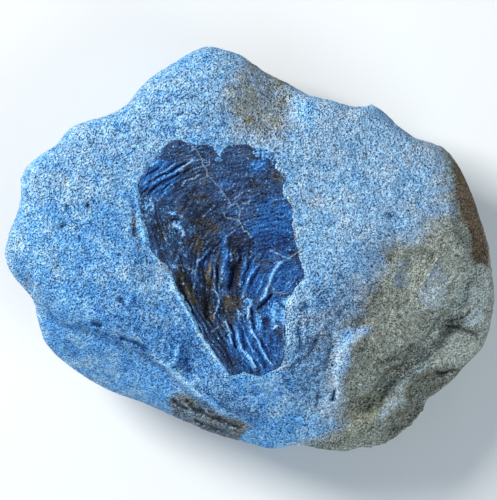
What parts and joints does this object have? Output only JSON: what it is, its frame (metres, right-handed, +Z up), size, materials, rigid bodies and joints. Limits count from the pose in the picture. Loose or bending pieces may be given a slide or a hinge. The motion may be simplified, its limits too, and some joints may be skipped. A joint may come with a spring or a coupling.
{
  "type": "fossil bivalve shell in rock matrix",
  "caption": "Loose lump of fine sandstone with one dark, layered fossil bivalve valve set hollow side up in its top.",
  "frame": {"origin": "middle of the stone's outline, at the level of its flat foot", "axes": "+Z up out of the face that holds the shell, +X along the stone's length, +Y towards its raised lobe"},
  "size_m": [0.1, 0.0826, 0.0278],
  "materials": {
    "stone": "fine-grained, matt, rough broken rock",
    "shell": "dark layered shell, faint silky sheen"
  },
  "bodies": {
    "root": {"stone_matrix": "stone", "fossil_shell": "shell"}
  },
  "joints": []
}
